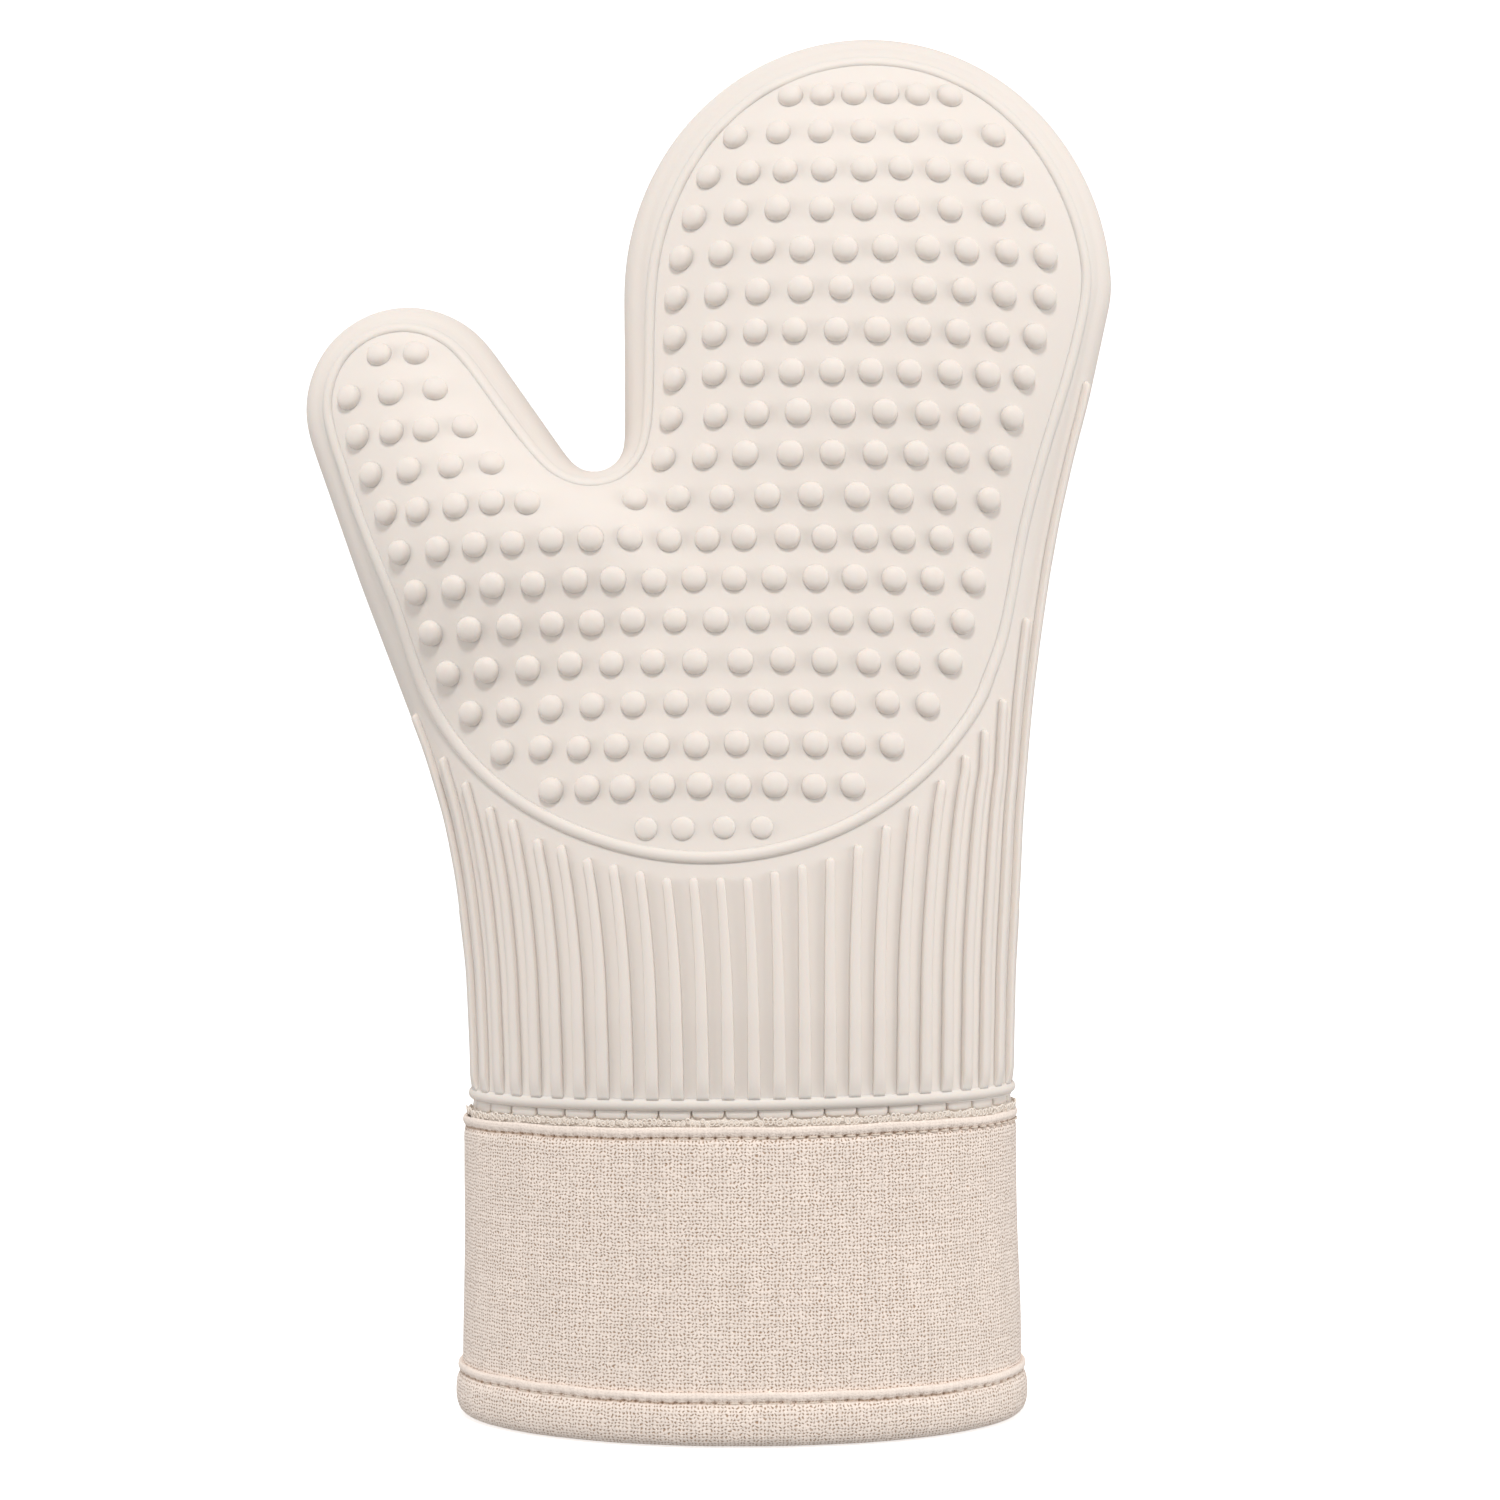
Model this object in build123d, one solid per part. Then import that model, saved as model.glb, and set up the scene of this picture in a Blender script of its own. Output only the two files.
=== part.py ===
from build123d import *
from math import copysign, cos, pi, radians, sin
import os

# Oven mitt standing on its cuff hem, palm towards -Y, thumb towards -X.
# Origin: centre of the cuff, on the floor.  Millimetres, +Z up.

# Overall size
MITT_HEIGHT = 332.0
CUFF_HALF_WIDTH = 67.2
CUFF_HALF_DEPTH = 37.2
WRIST_HALF_WIDTH = 65.6
WRIST_HALF_DEPTH = 36.0

# Layers of the hand, from the outside in
SILICONE = 2.0
WADDING = 3.0
LINING = 1.0

# Heights along the cuff
HEM_TOP = 13.4
LINING_FOOT = 66.0
CUFF_TOP = 72.8
SHELL_FOOT = 74.4

# Layers of the cuff, from the outside in
CUFF_CLOTH = 1.2
CUFF_WADDING = 3.0
CUFF_FACING = 1.0
FOLD_HEIGHT = 2.4
FOLD_PROUD = 0.6

# Rim of the moulded shell, just above the cuff
RIM_FOOT = 76.2
RIM_HEIGHT = 3.6
RIM_PROUD = 0.9

# Joining tape, set back between shell and cuff
TAPE_SETBACK = 1.3
TAPE_THICKNESS = 1.0

# Rolled hem
HEM_PROUD = 2.1
HEM_INSIDE = 7.2
HEM_ROLL = 3.4
BINDING = 1.2

# Stitches: one row under each fold
STITCH_LENGTH = 2.1
STITCH_WIDTH = 0.7
STITCH_PROUD = 0.5
STITCHES_PER_ROW = 112
CUFF_STITCH_HEIGHT = 69.4
HEM_STITCH_HEIGHT = 9.4

# Hand part: height, thumb-side edge, little-finger-side edge, half depth, squareness.
# A squareness of 2 is a true ellipse; larger is flatter across the palm.
HAND_STATIONS = [
    (60.0, -65.6, 65.6, 36.0, 2.0),
    (86.0, -65.6, 65.6, 36.0, 2.0),
    (110.0, -66.5, 66.0, 35.4, 2.0),
    (132.0, -69.4, 66.8, 34.2, 2.1),
    (152.0, -72.4, 68.0, 32.7, 2.1),
    (174.0, -69.0, 70.0, 31.0, 2.2),
    (200.0, -56.0, 73.9, 28.8, 2.3),
    (224.0, -37.5, 78.4, 27.2, 2.3),
    (242.0, -29.8, 82.9, 26.6, 2.3),
    (258.0, -28.9, 87.3, 26.2, 2.3),
]
FINGER_DOME_HEIGHT = 272.0
FINGER_CENTRE = 30.1
FINGER_HALF_WIDTH = 59.2
FINGER_HALF_DEPTH = 26.0
FINGER_SQUARENESS = 2.3

# Thumb: a tapering oval tube leaning out of the palm
THUMB_TIP_CENTRE = (-81.0, 0.0, 242.5)
THUMB_LEAN = 28.6
THUMB_TIP_RADIUS = 25.0
THUMB_TIP_HALF_DEPTH = 18.5
THUMB_ROOT_DISTANCE = 92.0
THUMB_ROOT_HALF_WIDTH = 36.5
THUMB_ROOT_HALF_DEPTH = 26.5

DOME_ANGLES = (0, 18, 36, 52, 66, 77, 85)
OVAL_POINTS = 16
THUMB_SQUARENESS = 2.1


# ------------------------------------------------------------------ sections
def oval(half_width, half_depth, squareness=2.0):
    """A closed oval face, centred, from ellipse to rounded rectangle."""
    power = 2.0 / squareness
    points = []
    for step in range(OVAL_POINTS):
        angle = 2 * pi * step / OVAL_POINTS
        c, s = cos(angle), sin(angle)
        x = half_width * copysign(abs(c) ** power, c)
        y = half_depth * copysign(abs(s) ** power, s)
        points.append((x, y))
    return make_face(Spline(*points, periodic=True))


def hand_body(inset, foot):
    """Wrist, palm and fingers, drawn in all round by inset, from foot upwards."""
    sections = []
    for height, left, right, depth, squareness in HAND_STATIONS:
        if height <= foot:
            continue
        face = oval((right - left) / 2 - inset, depth - inset, squareness)
        sections.append(Pos((left + right) / 2, 0, height) * face)
    base = oval(WRIST_HALF_WIDTH - inset, WRIST_HALF_DEPTH - inset)
    sections.insert(0, Pos(0, 0, foot) * base)
    rise = MITT_HEIGHT - FINGER_DOME_HEIGHT - inset
    for degrees in DOME_ANGLES:
        t = radians(degrees)
        half_width = (FINGER_HALF_WIDTH - inset) * cos(t)
        half_depth = (FINGER_HALF_DEPTH - inset) * cos(t)
        face = oval(half_width, half_depth, FINGER_SQUARENESS)
        height = FINGER_DOME_HEIGHT + rise * sin(t)
        sections.append(Pos(FINGER_CENTRE, 0, height) * face)
    sections.append(Vertex(FINGER_CENTRE, 0, MITT_HEIGHT - inset))
    return loft(sections)


def thumb(inset):
    """The thumb stall, drawn in all round by inset, with its root inside the palm."""
    lean = radians(THUMB_LEAN)
    along = Vector(-sin(lean), 0, cos(lean))
    across = Vector(cos(lean), 0, sin(lean))
    tip_centre = Vector(*THUMB_TIP_CENTRE)

    def section(distance, half_width, half_depth):
        plane = Plane(origin=tip_centre - along * distance, x_dir=across, z_dir=along)
        return plane * oval(half_width, half_depth, THUMB_SQUARENESS)

    root = section(
        THUMB_ROOT_DISTANCE,
        THUMB_ROOT_HALF_WIDTH - inset,
        THUMB_ROOT_HALF_DEPTH - inset,
    )
    dome = []
    rise = THUMB_TIP_RADIUS - inset
    for degrees in DOME_ANGLES:
        t = radians(degrees)
        half_width = (THUMB_TIP_RADIUS - inset) * cos(t)
        half_depth = (THUMB_TIP_HALF_DEPTH - inset) * cos(t)
        dome.append(section(-rise * sin(t), half_width, half_depth))
    tip = tip_centre + along * rise
    stall = loft([root, dome[0]])
    return stall + loft(dome + [Vertex(*tip)])


def hand(inset, foot):
    """Whole glove part: body and thumb in one solid."""
    return hand_body(inset, foot) + thumb(inset)


# ------------------------------------------------------------------ helpers
def cuff_oval(inset, low, high):
    """A solid oval post with the cuff's plan, drawn in by inset."""
    face = Ellipse(CUFF_HALF_WIDTH - inset, CUFF_HALF_DEPTH - inset)
    return Pos(0, 0, low) * extrude(face, high - low)


def cuff_ring(outer_inset, inner_inset, low, high):
    """A band round the cuff between two insets and two heights."""
    through = cuff_oval(inner_inset, low - 1, high + 1)
    return cuff_oval(outer_inset, low, high) - through


def rounded_post(inset, low, high, radius):
    """An oval post with its top and bottom edges rounded."""
    post = cuff_oval(inset, low, high)
    edges = post.edges().group_by(Axis.Z)
    return fillet(list(edges[0]) + list(edges[-1]), radius)


def half(solid, side):
    """The palm half (side -1) or the back half (side +1) of a solid."""
    reach = 400.0
    block = Pos(0, side * reach / 2, reach / 2) * Box(reach, reach, reach)
    return solid & block


def stitch_row(inset, height):
    """Equal stitches lying round the cuff, one after another."""
    half_width = CUFF_HALF_WIDTH - inset + STITCH_PROUD / 2
    half_depth = CUFF_HALF_DEPTH - inset + STITCH_PROUD / 2
    path = Edge.make_ellipse(half_width, half_depth)
    stitches = []
    for step in range(STITCHES_PER_ROW):
        here = path.location_at(step / STITCHES_PER_ROW)
        tangent = path.tangent_at(step / STITCHES_PER_ROW)
        turn = Vector(1, 0, 0).get_signed_angle(tangent, Vector(0, 0, 1))
        place = Pos(here.position.X, here.position.Y, height) * Rot(0, 0, turn)
        stitches.append(place * Box(STITCH_LENGTH, STITCH_PROUD, STITCH_WIDTH))
    return Compound(children=stitches)


# ------------------------------------------------------------------ the hand
outside = hand(0.0, SHELL_FOOT)
under_shell = hand(SILICONE, LINING_FOOT)
under_wadding = hand(SILICONE + WADDING, LINING_FOOT)
hollow = hand(SILICONE + WADDING + LINING, LINING_FOOT)

rim_outset = WRIST_HALF_WIDTH + RIM_PROUD - CUFF_HALF_WIDTH
rim = rounded_post(-rim_outset, RIM_FOOT, RIM_FOOT + RIM_HEIGHT, 1.4)
shell = (outside + rim) - under_shell
wadding = under_shell - under_wadding
lining = under_wadding - hollow

palm_shell = half(shell, -1)
back_shell = half(shell, 1)
palm_wadding = half(wadding, -1)
back_wadding = half(wadding, 1)
palm_liner = half(lining, -1)
back_liner = half(lining, 1)

# ------------------------------------------------------------------ the cuff
cloth_inner = CUFF_CLOTH
wadding_inner = cloth_inner + CUFF_WADDING
facing_inner = wadding_inner + CUFF_FACING
edge_floor = BINDING

# Outer cloth with a folded, slightly proud top edge
cuff_tube = cuff_ring(0.0, cloth_inner, edge_floor, CUFF_TOP)
fold = rounded_post(-FOLD_PROUD, CUFF_TOP - FOLD_HEIGHT, CUFF_TOP, 1.0)
cuff_fold = fold - cuff_oval(cloth_inner, CUFF_TOP - 5, CUFF_TOP + 1)
cuff_fabric = cuff_tube + cuff_fold

cuff_wadding = cuff_ring(cloth_inner, wadding_inner, edge_floor, LINING_FOOT)
cuff_facing = cuff_ring(wadding_inner, facing_inner, edge_floor, LINING_FOOT)

# Overlocked tape that joins the shell to the cuff, seen in the gap between them
tape_inner = TAPE_SETBACK + TAPE_THICKNESS
joining_tape = cuff_ring(TAPE_SETBACK, tape_inner, LINING_FOOT, SHELL_FOOT)

# Bias binding rolled round the lower edge
roll = rounded_post(-HEM_PROUD, 0.0, HEM_TOP, HEM_ROLL)
outer_leg = roll - cuff_oval(0.0, edge_floor, HEM_TOP + 1)
inner_leg = cuff_oval(facing_inner, 0.5, HEM_TOP)
hem_binding = (outer_leg + inner_leg) - cuff_oval(HEM_INSIDE, -1, HEM_TOP + 1)

cuff_top_stitching = stitch_row(-0.02, CUFF_STITCH_HEIGHT)
hem_stitching = stitch_row(-HEM_PROUD - 0.02, HEM_STITCH_HEIGHT)

# ------------------------------------------------------------------ output
NODES = {
    "palm_shell": palm_shell,
    "back_shell": back_shell,
    "palm_wadding": palm_wadding,
    "back_wadding": back_wadding,
    "palm_liner": palm_liner,
    "back_liner": back_liner,
    "joining_tape": joining_tape,
    "cuff_fabric": cuff_fabric,
    "cuff_wadding": cuff_wadding,
    "cuff_facing": cuff_facing,
    "hem_binding": hem_binding,
    "cuff_top_stitching": cuff_top_stitching,
    "hem_stitching": hem_stitching,
}

os.makedirs("parts", exist_ok=True)
for name, shape in NODES.items():
    export_step(shape, f"parts/{name}.step")
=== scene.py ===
from math import cos, pi, radians, sin

import bpy
import numpy as np
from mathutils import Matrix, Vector
from mathutils.geometry import delaunay_2d_cdt


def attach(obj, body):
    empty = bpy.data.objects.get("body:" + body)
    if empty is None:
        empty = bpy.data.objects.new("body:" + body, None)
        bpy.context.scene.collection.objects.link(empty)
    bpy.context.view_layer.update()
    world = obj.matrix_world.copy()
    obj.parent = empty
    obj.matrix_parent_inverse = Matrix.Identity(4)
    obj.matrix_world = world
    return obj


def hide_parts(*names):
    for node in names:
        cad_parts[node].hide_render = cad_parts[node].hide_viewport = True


# The oven mitt, dressed.  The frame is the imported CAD; lengths below are in millimetres
# and are turned into metres when a mesh is made.
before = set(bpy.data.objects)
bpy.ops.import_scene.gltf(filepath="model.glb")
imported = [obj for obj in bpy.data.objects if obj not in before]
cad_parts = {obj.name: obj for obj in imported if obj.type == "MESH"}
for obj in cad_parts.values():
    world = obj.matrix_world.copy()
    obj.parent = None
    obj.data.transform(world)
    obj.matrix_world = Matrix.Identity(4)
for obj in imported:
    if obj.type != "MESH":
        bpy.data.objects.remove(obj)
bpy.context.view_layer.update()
MM = 0.001
rng = np.random.default_rng(7)

# ---- sizes
FOOT = 77.0              # lower edge of the silicone, behind the ring
LINING_FOOT = 66.0       # lower edge of the lining inside it
WRIST_A, WRIST_B = 65.6, 36.0
CUFF_A, CUFF_B = 67.2, 37.2
RING_Z = 78.0
TILT = 0.0125            # ring and fold sit a little higher on the little-finger side
RIB_COUNT = 28           # per half
TAB_COUNT = 21           # per half
SHORT_RIB_TOP = 122      # the rib next to the seam ends here
THUMB_RIB_TOP, FINGER_RIB_TOP = 180, 248     # no rib on either side goes higher
VALLEY = 0.45            # depth of the soft valley between the mitt's edge and the bead
DOT_PITCH = 9.45
DOT_RADIUS = 2.95
ROW_COUNT, ROW_PITCH = 19, 9.6
LAST_ROW = ROW_COUNT - 1
TOP_ROW = 313.8          # height of the first row of dots
ROW_DROOP = 0.0004       # how a row sinks towards the thumb
PANEL_X, PANEL_Z, PANEL_RADIUS = -8.2, 207.9, 74.0    # round lower edge of the dotted panel
SHELL = (0.0, 1.9)       # each layer's two depths below the skin
PADDING = (2.0, 4.8)
LINING = (4.9, 5.7)


def smoothstep(a, b, x):
    t = np.clip((np.asarray(x, float) - a) / (b - a), 0, 1)
    return t * t * (3 - 2 * t)


def unit(v):
    return v / np.maximum(np.linalg.norm(v, axis=-1, keepdims=True), 1e-12)


def resample(points, step=None, count=None):
    """Points at equal distances along a polyline."""
    points = np.asarray(points, float)
    seg = np.linalg.norm(np.diff(points, axis=0), axis=1)
    run = np.concatenate([[0], np.cumsum(seg)])
    if count is None:
        count = int(round(run[-1] / step)) + 1
    at = np.linspace(0, run[-1], count)
    return np.stack([np.interp(at, run, points[:, k]) for k in range(points.shape[1])], 1)


def smooth_line(points, spread, closed=False):
    """Gaussian smoothing along an evenly sampled line; open ends stay put."""
    n = int(3 * spread)
    kernel = np.exp(-0.5 * (np.arange(-n, n + 1) / spread) ** 2)
    kernel /= kernel.sum()
    if closed:
        padded = np.concatenate([points[-n:], points, points[:n]])
    else:
        head = 2 * points[0] - points[n:0:-1]
        tail = 2 * points[-1] - points[-2:-n - 2:-1]
        padded = np.concatenate([head, points, tail])
    return np.stack([np.convolve(padded[:, k], kernel, "valid") for k in range(points.shape[1])], 1)


def arc(cx, cz, rx, rz, start, stop, count=24):
    t = np.radians(np.linspace(start, stop, count))
    return np.stack([cx + rx * np.cos(t), cz + rz * np.sin(t)], 1)


# ---- outline, seen from the palm
def mitt_outline(low):
    """Open line from the wrist's thumb side, round thumb and fingers, to its other side."""
    thumb_side = [(-65.2, low), (-65.2, 86), (-66.2, 107), (-68.7, 128), (-71.7, 143), (-76.3, 157.6)]
    finger_side = [
        (84.2, 245), (80.4, 230.4), (77.1, 215.8), (74.5, 201.3), (72.2, 186.7),
        (70.2, 172), (68.7, 157.6), (67.6, 143), (67.0, 128), (65.7, 107), (65.2, 86), (65.2, low),
    ]
    line = np.concatenate([
        thumb_side,
        [(-92.0, 199.0)],
        arc(-80.8, 242.3, 24.9, 25, 200.7, 35.0),
        arc(-35.6, 233.9, 7.2, 7.2, 215.0, 360, 12),
        [(-28.4, 250)],
        arc(30.5, 270, 59.1, 61.9, 180, 0, 60),
        finger_side,
    ])
    return smooth_line(resample(line, step=0.75), 3.0)


class Skin:
    """The smooth outside of the mitt: half depth and normal over the front view.

    phi solves laplacian(phi) = -1 inside the outline, so sqrt(2 phi) is a round
    swelling: an ellipse across a straight stretch, a dome at an end, and one
    smooth surface through the crotch of the thumb.
    """

    STEP = 1.0

    def __init__(self):
        self.low = 60.0
        self.line = mitt_outline(self.low)
        self.x0, self.z0 = -114.0, self.low
        self.nx, self.nz = 212, 280
        xs = self.x0 + self.STEP * np.arange(self.nx)
        zs = self.z0 + self.STEP * np.arange(self.nz)
        gx, gz = np.meshgrid(xs, zs, indexing="ij")
        self.near = self._nearest(np.stack([gx.ravel(), gz.ravel()], 1)).reshape(gx.shape)
        self.dist = self._exact(gx.ravel(), gz.ravel()).reshape(gx.shape)
        self._solve()

    def _nearest(self, p):
        out = np.empty(len(p), int)
        for i in range(0, len(p), 4000):
            d = ((p[i:i + 4000, None] - self.line[None]) ** 2).sum(2)
            out[i:i + 4000] = d.argmin(1)
        return out

    def _exact(self, x, z):
        """Signed distance to the outline, positive inside."""
        i = np.clip(np.round((x - self.x0) / self.STEP).astype(int), 0, self.nx - 1)
        j = np.clip(np.round((z - self.z0) / self.STEP).astype(int), 0, self.nz - 1)
        first = self.near[i, j]
        k = np.clip(first[:, None] + np.arange(-5, 5)[None], 0, len(self.line) - 2)
        a, b = self.line[k], self.line[k + 1]
        p = np.stack([x, z], 1)[:, None]
        ab = b - a
        t = np.clip(((p - a) * ab).sum(2) / (ab ** 2).sum(2), 0, 1)
        off = p - (a + t[..., None] * ab)
        d2 = (off ** 2).sum(2)
        best = d2.argmin(1)
        rows = np.arange(len(x))
        cross = ab[rows, best, 0] * off[rows, best, 1] - ab[rows, best, 1] * off[rows, best, 0]
        return np.sqrt(d2[rows, best]) * np.where(cross < 0, 1, -1)

    def _solve(self):
        inside = self.dist > 0
        inside[:, -1] = False
        phi = np.where(inside, 30.0 * self.dist, 0.0)
        d = np.abs(self.dist)

        def around(a):
            p = np.pad(a, 1)
            p[1:-1, 0] = a[:, 1]
            return p[2:, 1:-1], p[:-2, 1:-1], p[1:-1, 2:], p[1:-1, :-2]

        def neighbours(a):
            return sum(around(a))

        # a neighbour beyond the outline counts as zero at the outline itself
        diagonal = 0.0
        for near, d_near in zip(around(inside), around(d)):
            part = np.clip(d / np.maximum(d + d_near, 1e-9), 0.05, 1)
            diagonal = diagonal + np.where(near, 1.0, 1.0 / part)
        i, j = np.indices(inside.shape)
        colour = [inside & ((i + j) % 2 == c) for c in (0, 1)]
        for _ in range(700):
            for c in colour:
                fresh = (neighbours(phi) + self.STEP ** 2) / diagonal
                phi = np.where(c, phi + 1.95 * (fresh - phi), phi)
        self.phi = np.where(inside, phi, 0.0)
        q = np.where(inside & (d > 1.5), self.phi / np.maximum(d, 0.1), 0.0)
        known = inside & (d > 1.5)
        q_known, fixed = q.copy(), known.copy()
        for _ in range(14):
            total = neighbours(np.where(known, q, 0.0))
            count = neighbours(known.astype(float))
            grow = (count > 0) & ~fixed
            q = np.where(grow, total / np.maximum(count, 1), q)
            known = known | grow
        self.q = np.where(fixed, q_known, q)

    def _grid(self, table, x, z):
        """Smooth (Catmull-Rom) reading of a table between its points."""
        u = (np.asarray(x) - self.x0) / self.STEP
        v = (np.asarray(z) - self.z0) / self.STEP
        i = np.clip(np.floor(u).astype(int), 1, self.nx - 3)
        j = np.clip(np.floor(v).astype(int), 1, self.nz - 3)
        fu, fv = u - i, v - j

        def w(f):
            return [
                -0.5 * f + f ** 2 - 0.5 * f ** 3, 1 - 2.5 * f ** 2 + 1.5 * f ** 3,
                0.5 * f + 2 * f ** 2 - 1.5 * f ** 3, -0.5 * f ** 2 + 0.5 * f ** 3,
            ]

        wu, wv = w(fu), w(fv)
        total = 0.0
        for a in range(4):
            for b in range(4):
                total = total + wu[a] * wv[b] * table[i + a - 1, j + b - 1]
        return total

    def swelling(self, x, z):
        """phi, negative outside the outline."""
        d = self._exact(x, z)
        close = d * self._grid(self.q, x, z)
        far = self._grid(self.phi, x, z)
        mix = smoothstep(2.5, 6.0, d)
        return close * (1 - mix) + far * mix

    @staticmethod
    def fullness(x, z):
        """Half depth divided by the swelling's radius: wrist, palm, fingers, thumb."""
        body = np.interp(z, [60, 97, 132, 172, 207, 242, 292, 342],
                         [0.545, 0.54, 0.50, 0.45, 0.44, 0.485, 0.515, 0.515])
        lean = radians(28.6)
        vx, vz = x + 81.0, z - 242.5
        along = -vx * sin(lean) + vz * cos(lean)
        across = vx * cos(lean) + vz * sin(lean)
        thumb = smoothstep(-80, -25, along) * (1 - smoothstep(24, 44, across))
        return body + (0.70 - body) * thumb

    def lay(self, x, z, height=0.0, side=-1):
        """Points on the skin (side -1 palm, +1 back), lifted along the normal, and the normals."""
        x, z = np.asarray(x, float), np.asarray(z, float)
        e = 0.4
        phi = np.maximum(self.swelling(x, z), 0)
        px = (self.swelling(x + e, z) - self.swelling(x - e, z)) / (2 * e)
        pz = (self.swelling(x, z + e) - self.swelling(x, z - e)) / (2 * e)
        g = self.fullness(x, z)
        gx = (self.fullness(x + e, z) - self.fullness(x - e, z)) / (2 * e)
        gz = (self.fullness(x, z + e) - self.fullness(x, z - e)) / (2 * e)
        d0 = np.sqrt(2 * phi)
        normal = unit(np.stack([-(g * px + d0 ** 2 * gx), side * d0, -(g * pz + d0 ** 2 * gz)], 1))
        point = np.stack([x, side * g * d0, z], 1)
        inset = self._exact(x, z)
        valley = VALLEY * np.exp(-((inset - 3.9) / 1.25) ** 2) * smoothstep(172, 196, z)
        return point + normal * (np.asarray(height, float) - valley)[..., None], normal


skin = Skin()


# ---- mesh building
def signed_volume(verts, faces):
    """Volume inside a closed mesh; negative if its faces point inward."""
    mid = verts.mean(0)
    fans = [(f[0], f[k], f[k + 1]) for f in faces for k in range(1, len(f) - 1)]
    a, b, c = (verts[np.array(fans)[:, k]] - mid for k in range(3))
    return float((a * np.cross(b, c)).sum() / 6)


class Builder:
    """Collects vertices, faces, cloth coordinates and sharp loops for one mesh."""

    def __init__(self):
        self.v, self.f, self.uv, self.sharp, self.count = [], [], [], [], 0

    def add(self, verts, faces, uv=None, sharp=()):
        verts = np.asarray(verts, float).reshape(-1, 3)
        if signed_volume(verts, faces) < 0:
            faces = [tuple(face)[::-1] for face in faces]
        self.v.append(verts)
        self.uv.append(np.zeros((len(verts), 2)) if uv is None else np.asarray(uv, float))
        self.f += [tuple(int(i) + self.count for i in face) for face in faces]
        self.sharp += [(int(a) + self.count, int(b) + self.count) for a, b in sharp]
        self.count += len(verts)

    def make(self, name, material, slot, nodes=()):
        mesh = bpy.data.meshes.new(name)
        verts = np.concatenate(self.v) * MM
        mesh.from_pydata(verts.tolist(), [], self.f)
        mesh.update()
        uv = np.concatenate(self.uv)
        layer = mesh.uv_layers.new(name="Cloth")
        loops = np.zeros(len(mesh.loops), np.int32)
        mesh.loops.foreach_get("vertex_index", loops)
        corner = uv[loops]
        if corner[:, 0].max() > 100:
            owner = np.repeat(np.arange(len(mesh.polygons)), [len(f) for f in self.f])
            most = np.zeros(len(mesh.polygons))
            np.maximum.at(most, owner, corner[:, 0])
            corner[:, 0] += np.where(most[owner] - corner[:, 0] > 100, ROUND, 0)
        layer.data.foreach_set("uv", corner.astype(np.float32).ravel())
        mesh.polygons.foreach_set("use_smooth", np.ones(len(mesh.polygons), bool))
        if self.sharp:
            keys = {tuple(sorted(pair)) for pair in self.sharp}
            ends = np.zeros(2 * len(mesh.edges), np.int32)
            mesh.edges.foreach_get("vertices", ends)
            flags = [tuple(sorted(pair)) in keys for pair in ends.reshape(-1, 2).tolist()]
            attribute = mesh.attributes.new("sharp_edge", "BOOLEAN", "EDGE")
            attribute.data.foreach_set("value", flags)
        mesh.materials.append(material)
        piece = bpy.data.objects.new(name, mesh)
        bpy.context.scene.collection.objects.link(piece)
        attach(piece, "root")
        if nodes:
            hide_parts(*nodes)
        return piece


def sheet_grid(rows, columns, wrap=False, flip=False):
    """Quads of a rows by columns grid of vertices, numbered row by row."""
    faces = []
    last = columns if wrap else columns - 1
    for r in range(rows - 1):
        for c in range(last):
            d = (c + 1) % columns
            quad = (r * columns + c, r * columns + d, (r + 1) * columns + d, (r + 1) * columns + c)
            faces.append(quad[::-1] if flip else quad)
    return faces


def strip(rings, loop=False):
    """Tube through equal rings of points: (rings, points per ring, 3)."""
    rings = np.asarray(rings)
    n, m = rings.shape[:2]
    faces = []
    for r in range(n if loop else n - 1):
        a, b = r * m, ((r + 1) % n) * m
        for c in range(m):
            d = (c + 1) % m
            faces.append((a + c, a + d, b + d, b + c))
    if not loop:
        faces.append(tuple(range(m))[::-1])
        faces.append(tuple((n - 1) * m + c for c in range(m)))
    return rings.reshape(-1, 3), faces


# ---- half skin, as one fine mesh in the front view
INSETS = [0, 0.05, 0.2, 0.45, 0.8, 1.3, 1.9, 2.5, 3.1, 3.7, 4.3, 5.0, 5.9]


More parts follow.
